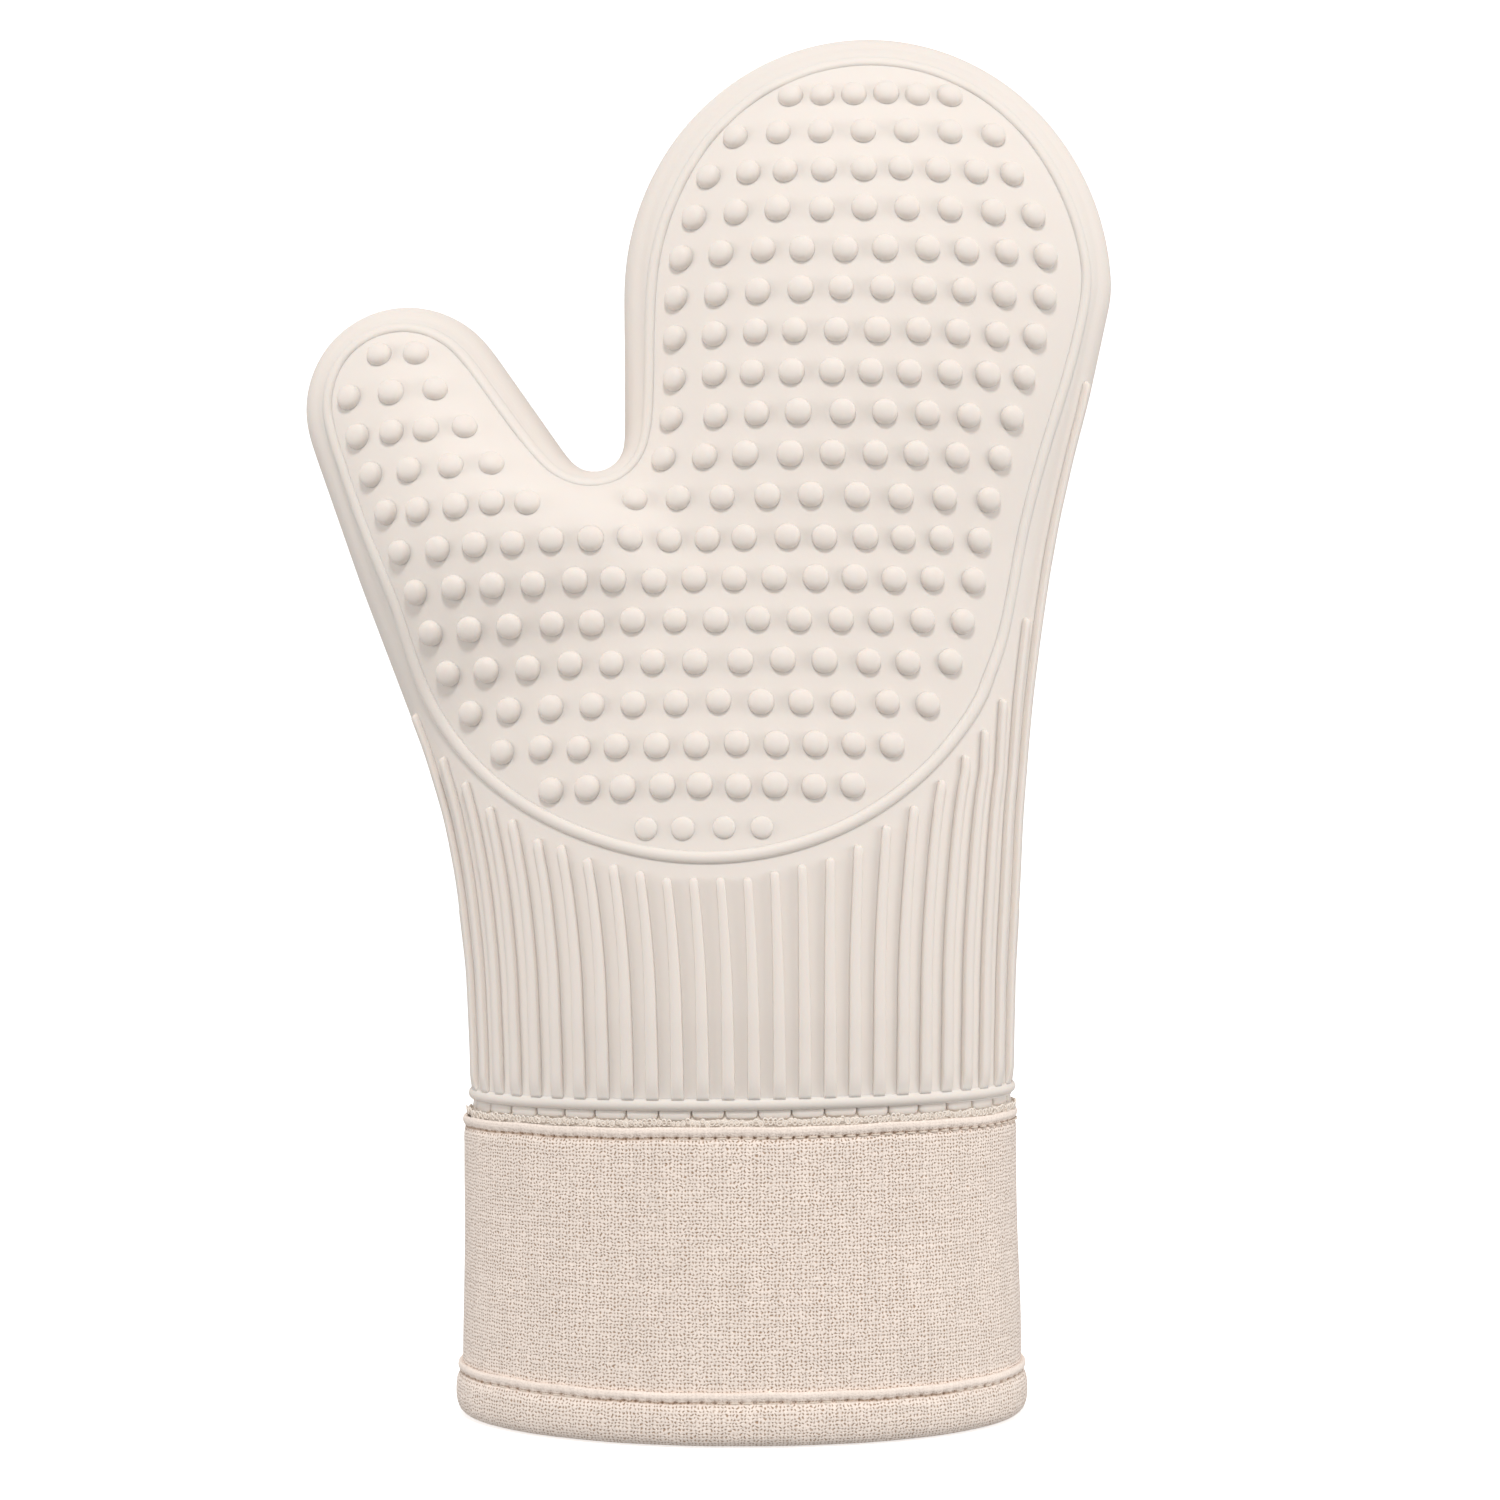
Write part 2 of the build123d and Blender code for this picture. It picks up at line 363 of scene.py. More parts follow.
def half_plan(low, step=2.4):
    """Front-view points and faces of one half, from height low up; boundary loop listed."""
    line = skin.line[skin.line[:, 1] > low + 0.8]
    line = resample(np.concatenate([[(line[0, 0], low)], line, [(line[-1, 0], low)]]), step=step * 0.625)
    tangent = unit(np.gradient(line, axis=0))
    tangent[0] = (0, 1)
    tangent[-1] = (0, -1)
    inward = np.stack([tangent[:, 1], -tangent[:, 0]], 1)
    rings = [line + inward * inset for inset in INSETS]
    n = len(line)
    points = np.concatenate(rings)
    faces = sheet_grid(len(INSETS), n, flip=True)
    core = rings[-1]
    count = int((core[-1, 0] - core[0, 0]) / step)
    foot = np.stack([np.linspace(core[-1, 0], core[0, 0], count + 2)[1:-1], np.full(count, low)], 1)
    border = np.concatenate([core, foot])
    xs = np.arange(-110, 95, step)
    grid = []
    for j, z in enumerate(np.arange(low + step * 0.86, 335, step * 0.866)):
        grid.append(np.stack([xs + (step / 2 if j % 2 else 0), np.full(len(xs), z)], 1))
    grid = np.concatenate(grid)
    grid = grid[skin._exact(grid[:, 0], grid[:, 1]) > INSETS[-1] + 0.55 * step]
    every = np.concatenate([border, grid])
    m = len(border)
    result = delaunay_2d_cdt(
        [Vector(p) for p in every], [], [list(range(m))[::-1]], 1, 1e-6
    )
    out_points, out_faces = result[0], result[2]
    origin = [o[0] if o else None for o in result[3]]
    base = (len(INSETS) - 1) * n
    where = {}
    extra = []
    for k, o in enumerate(origin):
        if o is not None and o < n:
            where[k] = base + o
        else:
            where[k] = len(points) + len(extra)
            extra.append(tuple(out_points[k]))
    points = np.concatenate([points, np.array(extra)])
    for face in out_faces:
        a, b, c = (points[where[i]] for i in face)
        turn = (b[0] - a[0]) * (c[1] - a[1]) - (b[1] - a[1]) * (c[0] - a[0])
        ids = tuple(where[i] for i in face)
        faces.append(ids if turn > 0 else ids[::-1])
    back = {o: where[k] for k, o in enumerate(origin) if o is not None}
    rim = list(range(n))
    right = [r * n + n - 1 for r in range(1, len(INSETS))]
    bottom = [back[n + k] for k in range(len(foot))]
    left = [r * n for r in range(len(INSETS) - 1, 0, -1)]
    return points, faces, rim + right + bottom + left


def half_shell(build, plan, side, outer, inner):
    """A closed layer of one half, between two depths below the skin."""
    points, faces, loop = plan
    top, _ = skin.lay(points[:, 0], points[:, 1], np.full(len(points), -outer), side)
    low, _ = skin.lay(points[:, 0], points[:, 1], np.full(len(points), -inner), side)
    for v in (top, low):
        v[:, 2] = np.where(np.abs(points[:, 1] - points[:, 1].min()) < 1e-6, points[:, 1], v[:, 2])
    n = len(points)
    every = []
    for f in faces:
        every.append(tuple(f) if side < 0 else tuple(f)[::-1])
        under = tuple(i + n for i in f)
        every.append(under[::-1] if side < 0 else under)
    edges = []
    for a, b in zip(loop, loop[1:] + loop[:1]):
        wall = (a, b, b + n, a + n)
        every.append(wall if side < 0 else wall[::-1])
        edges += [(a, b), (a + n, b + n)]
    build.add(np.concatenate([top, low]), every, sharp=edges)


# ---- the dotted panel's edge
def panel_edge():
    """Closed line of the bead round the dotted panel."""
    line = resample(skin.line, step=1.0)
    start = np.nonzero((line[:, 0] < 0) & (line[:, 1] > 190))[0][0]
    stop = np.nonzero((line[:, 0] > 60) & (line[:, 1] > 190))[0][-1]
    part = line[start:stop + 1]
    tangent = unit(np.gradient(part, axis=0))
    inward = np.stack([tangent[:, 1], -tangent[:, 0]], 1)
    x, z = part[:, 0], part[:, 1]
    inset = np.full(len(part), 6.6)
    inset += 2.2 * smoothstep(252, 302, z) * (x > -30)
    inset -= 0.9 * np.exp(-((x + 35) / 14) ** 2 - ((z - 228) / 14) ** 2)
    inset += 3.6 * (x > 50) * smoothstep(277, 192, z)
    inset += 1.4 * (x < -60) * smoothstep(217, 186, z)
    upper = part + inward * inset[:, None]
    turn = np.linspace(-17, -160.5, 60)
    radius = PANEL_RADIUS + 1.6 * smoothstep(-105, -142, turn) * (1 - 0.6 * smoothstep(-150, -160.5, turn))
    turn = np.radians(turn)
    lower = np.stack([PANEL_X + radius * np.cos(turn), PANEL_Z + radius * np.sin(turn)], 1)
    closed = np.concatenate([upper, lower])
    closed = resample(np.concatenate([closed, closed[:1]]), step=1.0)[:-1]
    closed = smooth_line(closed, 4.0, closed=True)
    x, z = closed[:, 0], closed[:, 1]
    corner = smoothstep(50, 58, x) * smoothstep(170, 178, z) * smoothstep(212, 200, z)
    return closed + (smooth_line(closed, 9.0, closed=True) - closed) * corner[:, None]


EDGE = panel_edge()


def edge_distance(x, z):
    """Signed distance to the panel's edge, positive inside the panel."""
    p = np.stack([x, z], 1)
    d = np.sqrt(((p[:, None] - EDGE[None]) ** 2).sum(2))
    k = d.argmin(1)
    tangent = unit(np.roll(EDGE, -1, 0) - np.roll(EDGE, 1, 0))[k]
    off = p - EDGE[k]
    cross = tangent[:, 0] * off[:, 1] - tangent[:, 1] * off[:, 0]
    return d.min(1) * np.where(cross < 0, 1, -1)


def add_bead(build, side):
    tangent = unit(np.roll(EDGE, -1, 0) - np.roll(EDGE, 1, 0))
    inward = np.stack([tangent[:, 1], -tangent[:, 0]], 1)
    x, z = EDGE[:, 0], EDGE[:, 1]
    # a flat step against the rim above, a round cord along the lower edge
    arc_part = 1 - smoothstep(170, 198, z)
    across = np.array([-1.75, -1.35, -0.75, 0.0, 0.62, 1.0, 1.12, 0.0])
    lift = np.array([-0.25, 0.22, 0.62, 0.8, 0.62, 0.25, -0.35, -0.6])
    round_across = np.array([-1.5, -1.3, -0.8, 0.0, 0.8, 1.3, 1.5, 0.0])
    round_lift = np.array([-0.3, 0.42, 0.86, 1.05, 0.86, 0.42, -0.3, -0.6])
    rings = []
    for k in range(len(EDGE)):
        w = arc_part[k]
        a = across * (1 - w) + round_across * w
        h = lift * (1 - w) + round_lift * w
        rings.append(np.stack([x[k] + inward[k, 0] * a, z[k] + inward[k, 1] * a, h], 1))
    rings = np.array(rings)
    flat = rings.reshape(-1, 3)
    points, _ = skin.lay(flat[:, 0], flat[:, 1], flat[:, 2], side)
    verts, faces = strip(points.reshape(rings.shape[0], rings.shape[1], 3), loop=True)
    if side > 0:
        faces = [f[::-1] for f in faces]
    build.add(verts, faces)


# ---- dots
def dot_centres():
    """Rows of dots, evenly spaced between the panel's edges, a little lower towards the thumb."""
    centres = []
    for k in range(ROW_COUNT):
        row = TOP_ROW - ROW_PITCH * k
        xs = np.arange(-105, 92, 0.25)
        zs = row - ROW_DROOP * np.minimum(xs - 6.0, 0) ** 2
        inside = edge_distance(xs, zs)
        low_row = smoothstep(165, 190, row)
        left_gap = 4.6 + 1.4 * low_row * (1 - smoothstep(290, 305, row))
        left_gap = left_gap + 2.1 * smoothstep(140, 158, row) * (1 - smoothstep(172, 190, row))
        left_gap = left_gap + 1.6 * ((xs > -35) & (abs(row - 218) < 5))
        right_gap = 9.8 - 5.0 * smoothstep(292, 314, row) - 3.6 * smoothstep(165, 141, row)
        on_thumb = (xs < -35) & (row > 212)
        right_gap = right_gap - 4.7 * on_thumb * smoothstep(248, 256, row)
        runs = np.split(np.arange(len(xs)), np.nonzero(np.diff((inside > left_gap).astype(int)))[0] + 1)
        for run in runs:
            if inside[run[0]] <= left_gap[run[0]]:
                continue
            far = run[inside[run] > right_gap[run]]
            if len(far) == 0:
                continue
            left, right = xs[run[0]], xs[far[-1]]
            count = int(round((right - left) / DOT_PITCH)) + 1
            if len(run) > 150 and not (k == 10 and left < -35):
                count += EXTRA_DOTS.get(k, 0)
            for x in np.linspace(left, right, max(count, 1)):
                x = x + LAST_ROW_SHIFT * (k == LAST_ROW) + 0.22 * rng.standard_normal()
                z = row - ROW_DROOP * min(x - 6.0, 0) ** 2 + 0.15 * rng.standard_normal()
                centres.append((x, z, k))
    return centres


EXTRA_DOTS = {0: 1, 10: -1, 11: 1, 17: 1}     # row: dots more than its even spacing gives
LAST_ROW_SHIFT = 2.3
LAST_ROW_SIZE, LAST_ROW_HEIGHT = 0.87, 0.55
DOTS = dot_centres()


def add_dots(build, side):
    turn = np.linspace(0, 2 * pi, 28, endpoint=False)
    rise = [(1.07, -0.35), (1.02, 0.08), (1.0, 0.42), (0.965, 0.86),
            (0.88, 1.32), (0.73, 1.7), (0.52, 1.97), (0.27, 2.12)]
    for x, z, row in DOTS:
        centre, normal = skin.lay(np.array([x]), np.array([z]), np.array([0.0]), side)
        c, n = centre[0], normal[0]
        u = unit(np.cross((0, 0, 1.0), n))
        w = np.cross(n, u)
        radius = DOT_RADIUS * (1 + 0.02 * rng.standard_normal()) * (1 if row < LAST_ROW else LAST_ROW_SIZE)
        high = 1.0 if row < LAST_ROW else LAST_ROW_HEIGHT
        rings = []
        for r, h in rise:
            ring = c + radius * r * (np.cos(turn)[:, None] * u + np.sin(turn)[:, None] * w)
            rings.append(ring + n * h * high)
        verts = np.concatenate(rings + [[c + n * 2.17 * high], [c - n * 0.4]])
        m, k = len(turn), len(rise)
        faces = sheet_grid(k, m, wrap=True)
        top, low = k * m, k * m + 1
        faces += [((k - 1) * m + i, (k - 1) * m + (i + 1) % m, top) for i in range(m)]
        faces += [((i + 1) % m, i, low) for i in range(m)]
        build.add(verts, faces)


# ---- ribs
def section(z):
    """Left and right edge of the outline at height z."""
    line = skin.line
    crossings = []
    for k in range(len(line) - 1):
        a, b = line[k], line[k + 1]
        if (a[1] - z) * (b[1] - z) <= 0 and a[1] != b[1]:
            crossings.append(a[0] + (b[0] - a[0]) * (z - a[1]) / (b[1] - a[1]))
    return min(crossings), max(crossings)


def half_round(z):
    """Places across one half at height z, and the arc length from its left edge to each."""
    left, right = section(z)
    xs = (left + right) / 2 - (right - left) / 2 * np.cos(np.linspace(0, pi, 500))
    points, _ = skin.lay(xs, np.full(500, z), np.zeros(500))
    run = np.concatenate([[0], np.cumsum(np.linalg.norm(np.diff(points[:, :2], axis=0), axis=1))])
    return xs, run


def fan(x, z):
    """How far a rib leans away from the middle of the wrist as it climbs."""
    climb = np.minimum(((z - 79.0) / 51.0) ** 3, 3.2)
    right = 1.7 * np.sin(pi * np.clip((x - 11.6) / 54.0, 0, 1))
    left = 1.6 * np.sin(pi * np.clip((11.6 - x) / 77.2, 0, 1))
    return climb * (right - left)


def rib_tracks():
    """Front-view line of every rib, from the ring up to just short of the bead."""
    heights = np.arange(79.0, 250, 1.5)
    share = np.arange(RIB_COUNT // 2) + 0.5
    left_x, right_x = [], []
    for z in heights:
        xs, run = half_round(z)
        if z < 150:
            pitch = run[-1] / RIB_COUNT
        left_x.append(np.interp(share * pitch, run, xs))
        right_x.append(np.interp(run[-1] - share * pitch, run, xs))
    tracks = []
    for table, top in ((np.array(left_x), THUMB_RIB_TOP), (np.array(right_x), FINGER_RIB_TOP)):
        for k in range(len(share)):
            x = table[:, k] + fan(table[0, k], heights)
            gap = -edge_distance(x, heights)
            blocked = np.nonzero((gap < 4.9) | (heights > (top if k else SHORT_RIB_TOP)))[0]
            stop = blocked[0] if len(blocked) else len(heights)
            if stop > 5:
                foot = RING_Z + 1.0 + TILT * x[0]
                keep = heights[:stop] > foot + 0.4
                start = (np.interp(foot, heights, x), foot)
                track = np.concatenate([[start], np.stack([x[:stop], heights[:stop]], 1)[keep]])
                tracks.append((track, 1.0 if k else 0.5))
    return tracks


RIBS = rib_tracks()


def add_ribs(build, side):
    # cross-section: places in half widths, heights in millimetres
    profile = np.array([(-1.0, -0.35), (-1.0, 0.6), (-0.96, 1.08), (-0.82, 1.32), (0.0, 1.4),
                        (0.82, 1.32), (0.96, 1.08), (1.0, 0.6), (1.0, -0.35)])
    for track, stature in RIBS:
        track = resample(track, step=2.0)
        track = np.insert(track, 1, track[0] * 0.65 + track[1] * 0.35, axis=0)
        way = unit(track[-1] - track[-2])
        tip = [track[-1] + way * s for s in (0.35, 0.7, 0.95)]
        track = np.concatenate([track, tip])
        span = track[:, 1].max() - track[0, 1]
        rings = []
        for k, (x, z) in enumerate(track):
            part = (z - track[0, 1]) / span
            width = 1.46 - 0.48 * part ** 1.3
            high = stature
            left = len(track) - 1 - k
            if left < 3:
                close = (0.35, 0.7, 0.9)[left]
                width *= close
                high = stature * (0.2, 0.62, 0.88)[left]
            high *= 0.4 + 0.6 * smoothstep(0.0, 3.5, z - track[0, 1])
            point, normal = skin.lay(np.array([x]), np.array([z]), np.array([0.0]), side)
            before, after = track[max(k - 1, 0)], track[min(k + 1, len(track) - 1)]
            ends, _ = skin.lay(np.array([before[0], after[0]]), np.array([before[1], after[1]]),
                               np.zeros(2), side)
            along = unit(ends[1] - ends[0])
            across = np.cross(along, normal[0])
            ring = [point[0] + across * a * width + normal[0] * (h * high if h > 0 else h)
                    for a, h in profile]
            rings.append(ring)
        verts, faces = strip(np.array(rings))
        build.add(verts, faces)


# ---- ring round the silicone's foot
def ellipse(a, b, count, start=0.0, stop=2 * pi, closed=True):
    t = np.linspace(start, stop, 4001)
    p = np.stack([a * np.cos(t), b * np.sin(t)], 1)
    line = resample(p, count=count + 1 if closed else count)
    return line[:-1] if closed else line


def ellipse_normal(p, a, b):
    return unit(np.stack([p[:, 0] / a ** 2, p[:, 1] / b ** 2], 1))


def add_ring(build, side):
    start, stop = (pi, 2 * pi) if side < 0 else (0, pi)
    path = ellipse(WRIST_A - 1.1, WRIST_B - 0.9, 130, start, stop, closed=False)
    out = ellipse_normal(path, WRIST_A, WRIST_B)
    out[0] = (np.sign(path[0, 0]), 0)
    out[-1] = (np.sign(path[-1, 0]), 0)
    turn = np.linspace(0, 2 * pi, 12, endpoint=False)
    rings = []
    for p, n in zip(path, out):
        z = RING_Z + TILT * p[0]
        wobble = 1 + 0.02 * sin(p[0] * 0.31)
        ring = [(p[0] + n[0] * 1.75 * wobble * cos(t), p[1] + n[1] * 1.75 * wobble * cos(t), z + 1.6 * sin(t))
                for t in turn]
        rings.append(ring)
    verts, faces = strip(np.array(rings))
    build.add(verts, faces)


# ---- cuff: cloth carried round an oval
HOLES = 112              # stitch holes round the cuff
FINE = 6                 # mesh columns per stitch
TAPE_COLUMNS = 448       # mesh columns round the joining tape
LOOP_COUNT = 300         # loops of its overlocked edge


def oval_line(offset, count):
    """Evenly spaced points round the cuff's oval, moved outward by offset, and the normals there."""
    base = ellipse(CUFF_A, CUFF_B, count)
    out = ellipse_normal(base, CUFF_A, CUFF_B)
    return base + out * offset, out


def oval_length():
    p = ellipse(CUFF_A, CUFF_B, 720)
    return np.linalg.norm(np.diff(np.concatenate([p, p[:1]]), axis=0), axis=1).sum()


ROUND = oval_length()


def turned(build, profile, columns, shape=None):
    """A closed cross-section (offset, height) carried round the cuff; shape may move it."""
    profile = np.asarray(profile, float)
    base, out = oval_line(0.0, columns)
    around = np.arange(columns) * ROUND / columns
    step = np.linalg.norm(np.diff(profile, axis=0), axis=1)
    along = np.concatenate([[0], np.cumsum(step)])
    offset = np.repeat(profile[:, :1], columns, 1)
    height = np.repeat(profile[:, 1:], columns, 1)
    if shape is not None:
        offset, height = shape(offset, height, around[None, :], base[:, 0][None, :])
    xyz = np.stack([base[None, :, 0] + out[None, :, 0] * offset,
                    base[None, :, 1] + out[None, :, 1] * offset, height], 2)
    rows = len(profile)
    faces = sheet_grid(rows, columns, wrap=True)
    for c in range(columns):
        d = (c + 1) % columns
        faces.append(((rows - 1) * columns + c, (rows - 1) * columns + d, d, c))
    uv = np.stack([np.repeat(around[None, :], rows, 0), np.repeat(along[:, None], columns, 1)], 2)
    build.add(xyz.reshape(-1, 3), faces, uv.reshape(-1, 2))


def curve_through(points, step):
    """Rounded line through a few points, sampled evenly."""
    return smooth_line(resample(points, step=step), 1.6)


def hole_row(offset, height, around, at, depth, width=0.42):
    """Dimples of a row of stitch holes, and the shallow groove that joins them."""
    phase = (around / ROUND * HOLES) % 1.0
    near = np.minimum(phase, 1 - phase) * ROUND / HOLES
    rise = height - at
    hole = np.exp(-(near / width) ** 2 - (rise / 0.5) ** 2)
    groove = np.exp(-(rise / 0.75) ** 2)
    pull = 0.5 - 0.5 * np.cos(2 * pi * phase)
    return offset - depth * hole - 0.42 * groove * (1 - 0.5 * pull)


def slow_wave(around, *terms):
    """Soft unevenness round the cuff: (waves round, size, phase) terms."""
    turn = 2 * pi * around / ROUND
    return sum(size * np.sin(waves * turn + phase) for waves, size, phase in terms)


CUFF_STITCH_Z, HEM_STITCH_Z = 70.25, 10.5
CUFF_FOLD = curve_through([(-1.3, 72.5), (-0.75, 73.1), (-0.2, 72.8), (0.0, 72.0), (-0.12, 71.2),
                           (-0.5, 70.5), (-0.5, 69.9), (-0.4, 68.8), (-0.35, 67.2)], 0.32)
HEM_FOLD = curve_through([(0.1, 12.6), (0.7, 13.1), (1.3, 12.8), (1.55, 12.1), (1.4, 11.3),
                          (1.1, 10.5), (1.25, 9.8), (1.7, 8.6)], 0.32)


def row_coordinate(profile, height):
    """Distance along a cross-section from its start down to a height."""
    profile = np.asarray(profile)
    along = np.concatenate([[0], np.cumsum(np.linalg.norm(np.diff(profile, axis=0), axis=1))])
    first = int(profile[:, 1].argmax())
    return float(np.interp(-height, -profile[first:, 1], along[first:]))


CUFF_ROW = row_coordinate(CUFF_FOLD, CUFF_STITCH_Z)
HEM_ROW = row_coordinate(HEM_FOLD, HEM_STITCH_Z)
CUFF_BEAD = row_coordinate(CUFF_FOLD, 72.1)
HEM_BEAD = row_coordinate(HEM_FOLD, 12.2)


def cuff_cloth():
    fold = CUFF_FOLD
    wall = [(-0.4, z) for z in np.arange(66.0, 14.6, -1.5)]
    foot = [(-0.4, 14.4), (-0.4, 13.4), (-0.4, 12.0), (-0.4, 9.0)]
    inside = [(-1.5, 9.0)] + [(-1.5, z) for z in np.arange(13, 72.0, 3.0)]
    profile = np.concatenate([fold, wall, foot, inside])

    def shape(offset, height, around, x):
        facing = (offset > -1.0) & (height > 10)
        phase = 2 * pi * around / ROUND * HOLES
        bead = np.exp(-((height - 72.0) / 1.0) ** 2)
        offset = offset + np.where(facing, 0.05 * bead * np.cos(phase), 0)
        offset = np.where(facing, hole_row(offset, height, around, CUFF_STITCH_Z, 0.7), offset)
        body = np.sin(pi * np.clip((height - 11) / 58, 0, 1))
        offset = offset + 0.75 * smoothstep(50, 15, height) - 0.45 * (x / CUFF_A) * smoothstep(20, 60, height)
        offset = offset + body * slow_wave(around, (5, 0.12, 0.4), (9, 0.10, 2.1), (16, 0.07, 1.0))
        lift = TILT * x * smoothstep(30, 70, height)
        lift = lift + smoothstep(60, 70, height) * slow_wave(around, (7, 0.12, 1.2), (19, 0.07, 0.3))
        return offset, height + lift

    build = Builder()
    turned(build, profile, HOLES * FINE, shape)
    return build


def hem_cloth():
    top = HEM_FOLD
    roll = curve_through([(1.7, 8.6), (1.95, 6.5), (1.95, 4.4), (1.7, 2.6), (1.0, 1.2), (-0.2, 0.35),
                          (-1.8, 0.0), (-3.6, 0.1), (-5.2, 0.9), (-6.4, 2.6), (-7.0, 5.0),
                          (-7.1, 8.5), (-6.9, 12.4)], 0.8)[1:]
    back = [(-6.5, 12.8), (-5.9, 12.4), (-5.9, 6.0), (-4.6, 2.6), (-2.6, 1.5), (-0.8, 2.0), (0.5, 4.2),
            (0.5, 8.6), (0.1, 11.4)]
    profile = np.concatenate([top, roll, back])

    def shape(offset, height, around, x):
        phase = 2 * pi * around / ROUND * HOLES
        facing = (offset > 0.6) & (height > 6)
        bead = np.exp(-((height - 12.1) / 0.9) ** 2)
        offset = offset + np.where(facing, 0.05 * bead * np.cos(phase), 0)
        offset = np.where(facing, hole_row(offset, height, around, HEM_STITCH_Z, 0.7), offset)
        offset = offset + slow_wave(around, (6, 0.08, 0.9), (17, 0.06, 0.2))
        height = height + smoothstep(5, 12, height) * slow_wave(around, (5, 0.12, 2.0), (21, 0.07, 0.5))
        return offset, height

    build = Builder()
    turned(build, profile, HOLES * FINE, shape)
    return build


def plain_tube(outer, inner, low, high, columns=180, step=3.0):
    zs = np.linspace(high, low, int((high - low) / step) + 2)
    profile = [(outer, z) for z in zs] + [(inner, z) for z in zs[::-1]]
    build = Builder()
    turned(build, profile, columns)
    return build


def thread_row(offset, height, tilt):
    """Short stitches of thread from hole to hole."""
    stages = ((1, 0.3, -0.30), (2, 0.85, -0.06), (4, 1.0, 0.05), (6, 0.85, -0.06), (7, 0.3, -0.30))
    build = Builder()
    columns = HOLES * 8
    base, out = oval_line(0.0, columns)
    turn = np.linspace(0, 2 * pi, 6, endpoint=False)
    for k in range(HOLES):
        rings = []
        for step, size, dip in stages:
            i = (8 * k + step) % columns
            centre = base[i] + out[i] * (offset + dip)
            z = height + (TILT * base[i, 0] if tilt else 0.0)
            rings.append([(centre[0] + out[i, 0] * 0.24 * size * cos(t),
                           centre[1] + out[i, 1] * 0.24 * size * cos(t),
                           z + 0.26 * size * sin(t)) for t in turn])
        build.add(*strip(np.array(rings)))
    return build


def tape_cloth():
    """Set-back textile band with the loops of its overlocked edge."""
    build = Builder()
    profile = [(-3.1, 77.4), (-2.9, 76.0), (-2.6, 74.6), (-1.9, 73.6), (-1.6, 72.6), (-1.6, 68.0),
               (-2.6, 68.0), (-2.8, 72.6), (-3.9, 74.6), (-3.9, 77.4)]

    def shape(offset, height, around, x):
        return offset + 0.12 * np.sin(around * 5.1) * np.sin(height * 4.7), height + TILT * x

    turned(build, profile, TAPE_COLUMNS, shape)
    turn = np.linspace(0, 2 * pi, 9, endpoint=False)
    small = np.linspace(0, 2 * pi, 5, endpoint=False)
    base, out = oval_line(0.0, LOOP_COUNT)
    for k in range(LOOP_COUNT):
        tangent = np.array([-out[k, 1], out[k, 0], 0])
        n = np.array([out[k, 0], out[k, 1], 0])
        lean = 0.35 * rng.standard_normal()
        up = np.array([0, 0, 1.0]) * cos(lean) + tangent * sin(lean)
        side_way = tangent * cos(lean) - np.array([0, 0, 1.0]) * sin(lean)
        z = 73.75 + TILT * base[k, 0] + 0.2 * rng.standard_normal()
        centre = np.array([base[k, 0], base[k, 1], z]) + n * (-1.0 + 0.15 * rng.standard_normal())
        r = 0.62 * (1 + 0.12 * rng.standard_normal())
        rings = []
        for t in turn:
            spoke = side_way * cos(t) * 0.8 + up * sin(t) * 1.15
            ring_centre = centre + spoke * r + n * 0.15 * sin(t)
            rings.append([ring_centre + unit(spoke) * 0.19 * cos(s) + n * 0.19 * sin(s) for s in small])
        build.add(*strip(np.array(rings), loop=True))
    return build


# across one tab: place in eighths of its pitch, thickness, and how much shorter it is there
TAB_RINGS = [(0.16, 0.4, 0.4), (0.6, 0.9, 0.1), (2.0, 1.0, 0.0),
             (6.0, 1.0, 0.0), (7.4, 0.9, 0.1), (7.84, 0.4, 0.4)]


def add_tabs(build, side):
    """The shell's short tongues below its ring."""
    start, stop = (pi, 2 * pi) if side < 0 else (0, pi)
    path = ellipse(WRIST_A - 1.2, WRIST_B - 1.2, TAB_COUNT * 8 + 1, start, stop, closed=False)
    out = ellipse_normal(path, WRIST_A, WRIST_B)
    for k in range(TAB_COUNT):
        drop = 2.6 + 0.2 * rng.standard_normal()
        rings = []
        for place, size, cut in TAB_RINGS:
            i = 8 * k + place
            a, f = int(i), i - int(i)
            p = path[a] * (1 - f) + path[a + 1] * f
            n = unit(out[a] * (1 - f) + out[a + 1] * f)
            z = RING_Z + TILT * p[0]
            low = z - 1.2 - drop * (1 - cut)
            thick = 0.8 * size
            rings.append([
                (p[0] + n[0] * (0.45 * thick), p[1] + n[1] * (0.45 * thick), z - 0.5),
                (p[0] + n[0] * thick, p[1] + n[1] * thick, low + 0.55),
                (p[0] + n[0] * thick * 0.5, p[1] + n[1] * thick * 0.5, low + 0.12),
                (p[0] - n[0] * 0.2, p[1] - n[1] * 0.2, low),
                (p[0] - n[0] * 0.5, p[1] - n[1] * 0.5, low + 0.5),
                (p[0] - n[0] * 0.5, p[1] - n[1] * 0.5, z - 0.5),
            ])
        build.add(*strip(np.array(rings)))


# ---- materials
def new_material(name):
    material = bpy.data.materials.new(name)
    material.use_nodes = True
    nodes, links = material.node_tree.nodes, material.node_tree.links
    return material, nodes, links, nodes["Principled BSDF"]


def put(node, values):
    """Constant values on a node's inputs, by name."""
    for socket, value in values.items():
        node.inputs[socket].default_value = value


def add_bump(nodes, links, bsdf, height, strength, distance):
    bump = nodes.new("ShaderNodeBump")
    put(bump, {"Strength": strength, "Distance": distance})
    links.new(height, bump.inputs["Height"])
    links.new(bump.outputs["Normal"], bsdf.inputs["Normal"])


